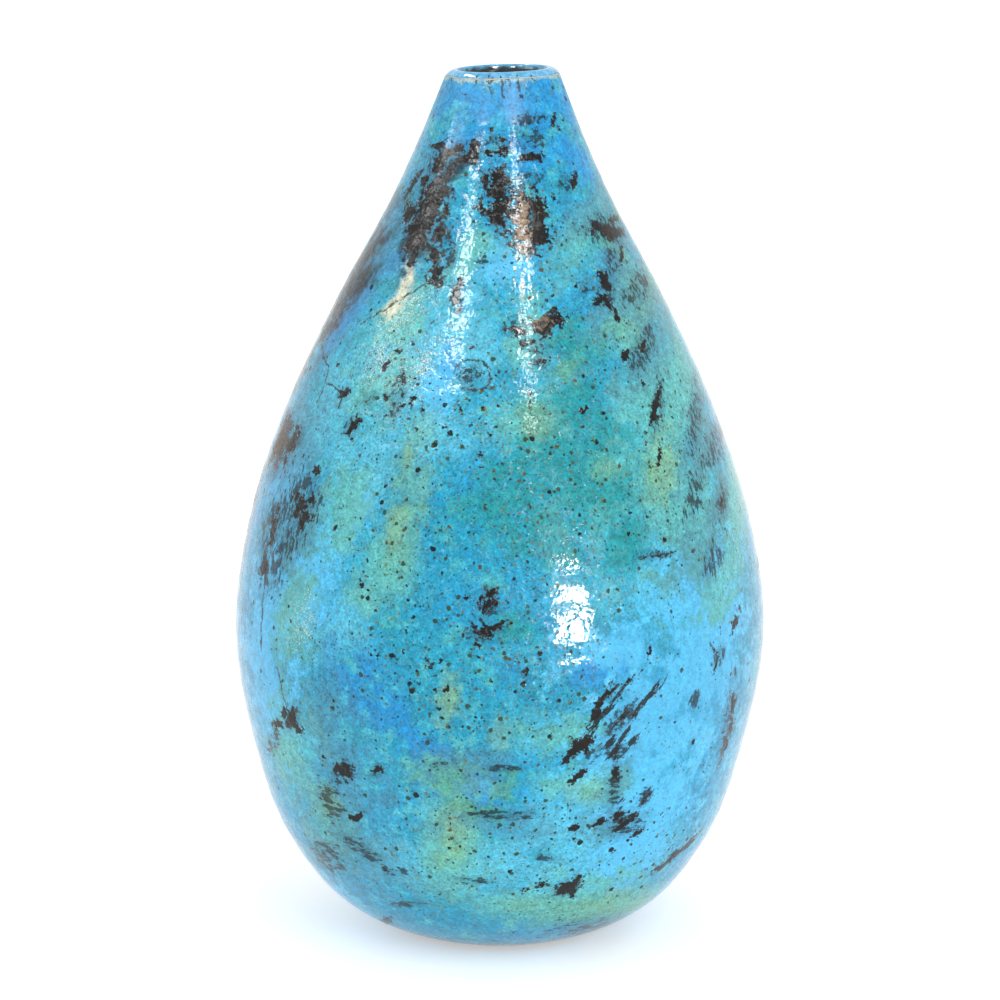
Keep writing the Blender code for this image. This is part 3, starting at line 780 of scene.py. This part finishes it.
# Iron specks: the spacing of their cells and their widest radius in mm, the share of cells that
# stay empty outside and inside the busy areas, their colour and how dense it is.
SPECKS = (
    (3.6, 0.90, 0.86, 0.30, "2E4210", 0.92),
    (2.6, 0.56, 0.80, 0.20, "083024", 0.94),
    (5.4, 1.10, 0.90, 0.45, "060A0A", 0.98),
    (1.9, 0.40, 0.75, 0.15, "06303E", 0.88),
    (5.0, 0.80, 0.88, 0.50, "56480C", 0.92),
    (2.5, 0.52, 0.76, 0.18, "767018", 0.84),
    (1.7, 0.34, 0.74, 0.30, "14463E", 0.80),
)
warp = put("TexNoise", {"Vector": place, "Scale": 1 / (1.3 * MM), "Detail": 2.0}, out="Color")
warp = put("VectorMath", (warp, (1.3 * MM,) * 3, place), operation="MULTIPLY_ADD")
crowd = put("MapRange", (field["busy"], -0.4, 0.4))
for number, (cell, widest, sparse, full, code, strength) in enumerate(SPECKS):
    shift = (0.31 * number, 0.17 * number, 0.23 * number)
    spot = put("VectorMath", (warp, shift), operation="ADD")
    cells = put("TexVoronoi", {"Vector": spot, "Scale": 1 / (cell * MM)}, out="Distance")
    chance = put("SeparateXYZ", (cells.node.outputs["Color"],))
    size = chance.node.outputs[1]
    need = put("MapRange", {0: crowd, 3: sparse, 4: full})
    there = put("Math", (chance, need), operation="GREATER_THAN")
    reach = put("MapRange", {0: size, 3: 0.4 * widest / cell, 4: widest / cell})
    edge = put("Math", (reach, cells), operation="SUBTRACT")
    speck = put("MapRange", (edge, -0.06 / cell, 0.12 / cell, 0.0, strength))
    speck = put("Math", (speck, there), operation="MULTIPLY")
    color = put("Mix", {0: speck, 6: color, 7: linear(code)}, **BLEND)

# Smoked patches: the listed marks, torn by noise from centimetres down to the grain.
tear = 0.0
for name, share in (("torn", 5.0), ("fine", 4.0)):
    tear = put("Math", (noise[name], share, tear), operation="MULTIPLY_ADD")
whole = put("MapRange", (field["dark"], 0.0, 0.7, 1.0, 0.45))
char = put("Math", (tear, whole, field["dark"]), operation="MULTIPLY_ADD")
char = put("MapRange", (char, 0.08, 0.22))
within = put("MapRange", (field["dark"], -0.9, -0.4))
char = put("Math", (char, within), operation="MULTIPLY")

# Lace: thin smoke that caught on the grain of the glaze, upright at the sides of the front and
# level round the base.
thread = put("Mix", {0: field["side"], 2: noise["fine"], 3: noise["upright"]})
thread = put("Mix", {0: field["base"], 2: thread, 3: noise["level"]})
mist = put("MapRange", (field["lace"], -0.35, 0.50, -0.35, 0.66))
lacy = put("Math", (thread, 4.6, mist), operation="MULTIPLY_ADD")
lacy = put("Math", (noise["torn"], 3.0, lacy), operation="MULTIPLY_ADD")
lacy = put("MapRange", (lacy, 0.50, 0.74, 0.0, 0.84))
stain = put("MapRange", (mist, -0.2, 0.5, 0.0, 0.28))
color = put("Mix", {0: stain, 6: color, 7: linear("2B6A84")}, **BLEND)
color = put("Mix", {0: lacy, 6: color, 7: linear("081C26")}, **BLEND)

# Strokes: smoke drawn out along one slope.
slope = {"Vector": place, "Rotation": (0.0, radians(-50), radians(27)), "Scale": (3.6, 1.0, 1.0)}
slope = put("Mapping", slope, vector_type="TEXTURE")
drawn = put("TexNoise", {"Vector": slope, "Scale": 1 / (1.7 * MM), "Detail": 7.0, "Roughness": 0.74})
drawn = put("Math", (drawn, 6.5, -3.25), operation="MULTIPLY_ADD")
drawn = put("Math", (field["stroke"], 0.9, drawn), operation="MULTIPLY_ADD")
drawn = put("MapRange", (drawn, 0.22, 0.38, 0.0, 0.95))
within = put("MapRange", (field["stroke"], -0.5, -0.1))
drawn = put("Math", (drawn, within), operation="MULTIPLY")

# Cracks: fine grooves that wander a little, dark with smoke but for a break here and there.
groove = put("Math", (noise["torn"], 5.0, field["crack"]), operation="MULTIPLY_ADD")
groove = put("Math", (groove,), operation="ABSOLUTE")
groove = put("MapRange", (groove, 0.55, 0.25))
near = put("MapRange", (field["near"], 1.4, 0.9))
groove = put("Math", (groove, near), operation="MULTIPLY")
gaps = put("MapRange", (noise["fine"], -0.09, -0.03, 0.15, 0.85))
crack = put("Math", (groove, gaps), operation="MULTIPLY")

# Soot is black or brown, with a bronze lustre in places, which is a little metallic and duller. Along
# the highlights its bronze colour is also a painted golden highlight.
smoked = put("Math", (char, drawn), operation="MAXIMUM")
smoked = put("Math", (smoked, crack), operation="MAXIMUM")
brown = put("MapRange", (noise["cloud"], 0.02, 0.12))
soot = put("Mix", {0: brown, 6: linear("030709"), 7: linear("171009")}, **BLEND)
lustre_and_sheen = put("Math", (noise["fine"], 7.0, field["bronze"]), operation="MULTIPLY_ADD")
lustre_and_sheen = put("MapRange", (lustre_and_sheen, 0.3, 1.1, 0.0, 0.8))
# partly painted highlight: bronze laid where the highlights cross the soot
soot = put("Mix", {0: lustre_and_sheen, 6: soot, 7: linear("6E5A44")}, **BLEND)
color = put("Mix", {0: smoked, 6: color, 7: soot}, **BLEND)
bronzed = put("Math", (lustre_and_sheen, smoked), operation="MULTIPLY")
metal = put("Math", (bronzed, 0.6), operation="MULTIPLY")
dull = put("MapRange", {0: field["neck"], 3: 0.06, 4: 0.38})
dull = put("Math", (smoked, 0.10, dull), operation="MULTIPLY_ADD")
dull = put("Math", (bronzed, 0.35, dull), operation="MULTIPLY_ADD")

# The melted surface: an orange-peel of 1.5 mm on broader swells, tiny sharp craters, wrinkles where
# it is rippled or crinkled, and smoked patches and cracks a little sunken.
peel = put("TexNoise", {"Vector": place, "Scale": 1 / (1.5 * MM), "Detail": 1.0})
swell = put("TexNoise", {"Vector": place, "Scale": 1 / (6 * MM), "Detail": 1.0})
pits = put("TexNoise", {"Vector": warp, "Scale": 1 / (1.7 * MM), "Detail": 3.0, "Roughness": 0.6})
pits = put("MapRange", (pits, 0.55, 0.75))
rippled = put("MapRange", (field["ripple"], -0.3, 0.5, 0.0, 2.2))
crinkled = put("MapRange", (field["crinkle"], -0.3, 0.5, 0.0, 5.0))
crinkled = put("Math", (crinkled, rippled), operation="MAXIMUM")
wrinkle = put("TexNoise", {"Vector": place, "Scale": 1 / (2.6 * MM), "Detail": 2.0, "Roughness": 0.6})
relief = peel
shares = ((swell, 2.0), (crinkled, wrinkle), (pits, 1.6), (smoked, -0.25), (groove, -0.5))
for value, share in shares:
    relief = put("Math", (value, share, relief), operation="MULTIPLY_ADD")
depth = put("MapRange", {0: field["neck"], 3: 1.0, 4: 0.25})
bump = put("Bump", {"Height": relief, "Distance": 0.08 * MM, "Strength": depth})
fill(shader, {"Base Color": color, "Metallic": metal, "Roughness": dull, "Normal": bump, "IOR": 1.34})
outer_glaze.data.materials.append(glaze)
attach(outer_glaze, "root")
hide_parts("outer_glaze")


# The lip glaze: the same glaze where it lies thick over the rounded lip. Its paler blue is partly a
# milky colour of its own and partly a painted reflection of the light on the top of the lip. It is
# very glossy, breaks off in a thin bare line at the outer edge, and is crossed by fine cracks.
lip_glaze, azimuth, along, radius = coat(
    "lip_glaze_blue", line_end + SEAM, rim_mark, rings=26, under_rings=12, dented=False
)
for name, values in zip(("near", "crack"), crack_distance(LIP_CRACKS, azimuth, along, radius)):
    give(lip_glaze, name, values)
milky_and_reflection, shader, put = finish_of("milky_blue_glaze_painted_reflection")
place = put("TexCoord", out="Object")
curd = put("TexNoise", {"Vector": place, "Scale": 1 / (2.5 * MM), "Detail": 6.0, "Roughness": 0.66})
ramp = put("MapRange", (curd, 0.38, 0.62))
# partly painted reflection: the paler blue on the top of the lip
milk_and_reflection = put("Mix", {0: ramp, 6: linear("38A2DC"), 7: linear("7CCAF2")}, **BLEND)
near = put("Attribute", out="Fac", attribute_name="near")
near = put("MapRange", (near, 1.4, 0.9))
crack = put("Attribute", out="Fac", attribute_name="crack")
crack = put("Math", (crack,), operation="ABSOLUTE")
crack = put("MapRange", (crack, 0.44, 0.18, 0.0, 0.85))
crack = put("Math", (crack, near), operation="MULTIPLY")
color = put("Mix", {0: crack, 6: milk_and_reflection, 7: linear("1B2A2E")}, **BLEND)
peel = put("TexNoise", {"Vector": place, "Scale": 1 / (1.4 * MM), "Detail": 2.0})
bump = put("Bump", {"Height": peel, "Distance": 0.06 * MM, "Strength": 1.0})
fill(shader, {"Base Color": color, "Normal": bump, "Roughness": 0.06, "IOR": 1.45})
lip_glaze.data.materials.append(milky_and_reflection)
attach(lip_glaze, "root")
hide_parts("lip_glaze")


# The liner: glaze poured in and out again before the firing, so that it coats the whole inside. The
# smoke that stayed in the pot has turned it green-black and as glossy as wet stone.
liner_start = rim_mark + SEAM
liner_middle = np.linspace(liner_start + COAT_ROUND, face_marks[-1], 120)
liner_at = np.concatenate([liner_start + edge_ease, liner_middle])
liner_over = eased(liner_at, liner_at - liner_start)
liner_under = on_face(np.linspace(face_marks[-1], liner_start, 60), COAT)
liner_over[-1, 0] = liner_under[0, 0] = 0.0
liner_glaze = turned("liner_glaze_smoked", np.vstack([liner_under, liner_over]))

# How far in from its edge the liner's face lies in mm. Its underside and poles count as far in.
FAR_IN = 9.0
inward = np.append(np.full(len(liner_under) - 1, FAR_IN), (liner_at[:-1] - liner_start) / MM)
give(liner_glaze, "inward", np.append(np.repeat(inward, len(columns)), (FAR_IN, FAR_IN)))
smoked_glass, shader, put = finish_of("smoke_black_liner_glaze")
place = put("TexCoord", out="Object")
cloud = put("TexNoise", {"Vector": place, "Scale": 1 / (7 * MM), "Detail": 6.0, "Roughness": 0.6})
ramp = put("MapRange", (cloud, 0.35, 0.7))
dark = put("Mix", {0: ramp, 6: linear("0A1010"), 7: linear("1F3A36")}, **BLEND)
ragged = put("TexNoise", {"Vector": place, "Scale": 1 / (3 * MM), "Detail": 5.0})
inward = put("Attribute", out="Fac", attribute_name="inward")
inward = put("Math", (ragged, -5.0, inward), operation="MULTIPLY_ADD")
inward = put("MapRange", (inward, -2.3, -0.9))
color = put("Mix", {0: inward, 6: linear("5AAED2"), 7: dark}, **BLEND)
peel = put("TexNoise", {"Vector": place, "Scale": 1 / (1.6 * MM), "Detail": 2.0})
bump = put("Bump", {"Height": peel, "Distance": 0.03 * MM, "Strength": 1.0})
fill(shader, {"Base Color": color, "Normal": bump, "Roughness": 0.12, "IOR": 1.5})
liner_glaze.data.materials.append(smoked_glass)
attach(liner_glaze, "root")
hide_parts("liner_glaze")


# The floor: white paper that runs out past the view. It takes the vase's soft shadow, and to the
# camera and in reflections it adds enough of its own white to match the background.
FLOOR_REACH = 9.0
FLOOR_DROP = 0.05 * MM
paper_mesh = bpy.data.meshes.new("paper_floor")
square = ((-1, -1), (1, -1), (1, 1), (-1, 1))
corners = [(x * FLOOR_REACH, y * FLOOR_REACH, -FLOOR_DROP) for x, y in square]
paper_mesh.from_pydata(corners, [], [(0, 1, 2, 3)])
paper_floor = bpy.data.objects.new("paper_floor", paper_mesh)
bpy.context.collection.objects.link(paper_floor)


def seen(put):
    """1 where the camera sees a point straight, in a reflection or through glass, else 0.

    It is the greatest of the three kinds of ray that carry a view, each of which is 1 or 0.
    """
    shown = put("LightPath", out="Is Camera Ray")
    rays = shown.node.outputs
    for other in ("Is Glossy Ray", "Is Transmission Ray"):
        shown = put("Math", (shown, rays[other]), operation="MAXIMUM")
    return shown


paper, shader, put = finish_of("white_paper")
glow = put("Math", (seen(put), 0.45), operation="MULTIPLY")
fill(shader, {"Base Color": linear("F2F2F2"), "Roughness": 0.9, "Specular IOR Level": 0.0})
fill(shader, {"Emission Color": linear("FFFFFF"), "Emission Strength": glow})
paper_mesh.materials.append(paper)

# Soft studio light: an even white surround, which shows at full white to the camera and in
# reflections.
world = bpy.data.worlds.new("white_surround")
bpy.context.scene.world = world
world.use_nodes = True
put = putter(world.node_tree)
white = put("MapRange", {0: seen(put), 3: 0.88, 4: 1.0})
fill(world.node_tree.nodes["Background"], {"Color": linear("FFFFFF"), "Strength": white})

# Lamps, as (name, azimuth, elevation, distance, width, height, radiance, lights the surface). The
# small bright ones are seen only as reflections in the glaze, and the large one only lights it.
LAMPS = (
    ("window_right", 31, 3.0, 1.6, 0.42, 0.36, 60.0, False),
    ("window_right_top", 28, 9, 1.6, 0.28, 0.20, 8.0, False),
    ("window_right_above", 26, 18, 1.6, 0.50, 0.36, 2.4, False),
    ("strip_high_right", 20, 47.5, 1.6, 0.28, 0.32, 25.0, False),
    ("window_high_right", 22, 52, 1.6, 0.36, 0.24, 30.0, False),
    ("strip_low_right", 19, 37, 1.6, 0.22, 0.14, 20.0, False),
    ("strip_high_left", -35.5, 46, 1.6, 0.28, 0.32, 25.0, False),
    ("window_left", -74, 32, 1.6, 0.90, 0.30, 3.2, False),
    ("window_far_left", -88, 31, 1.6, 0.12, 0.18, 9.0, False),
    ("window_lip", -104, 57, 1.6, 1.70, 0.24, 22.0, False),
    ("key", 28, 36, 2.2, 1.4, 1.4, 1.6, True),
)
target = np.array((0.0, 0.0, 0.17))
for name, turn, rise, distance, width, tall, radiance, lights_surface in LAMPS:
    turn, rise = radians(turn), radians(rise)
    direction = np.array((sin(turn) * cos(rise), -cos(turn) * cos(rise), sin(rise)))
    data = bpy.data.lights.new(name, "AREA")
    data.shape = "ELLIPSE"
    data.size, data.size_y = width, tall
    data.energy = radiance * np.pi * width * tall
    lamp = bpy.data.objects.new(name, data)
    lamp.location = target + distance * direction
    lamp.rotation_euler = (np.pi / 2 - rise, 0.0, turn)
    lamp.visible_camera = False
    lamp.visible_diffuse = lights_surface
    lamp.visible_glossy = not lights_surface
    bpy.context.collection.objects.link(lamp)

# The camera looks a little down on the vase from 1.2 m away, and is rolled by a third of a degree.
camera_data = bpy.data.cameras.new("camera")
camera_data.lens = 127.4
camera_data.sensor_width = 36.0
camera = bpy.data.objects.new("camera", camera_data)
camera.location = (0.0, -1.2, 0.4029)
pitch, roll = radians(90 - 11.862), radians(0.30)
turned_down = Matrix.Rotation(pitch, 3, "X") @ Matrix.Rotation(roll, 3, "Z")
camera.rotation_mode = "QUATERNION"
camera.rotation_quaternion = turned_down.to_quaternion()
bpy.context.collection.objects.link(camera)
bpy.context.scene.camera = camera
bpy.context.scene.view_settings.view_transform = "Standard"
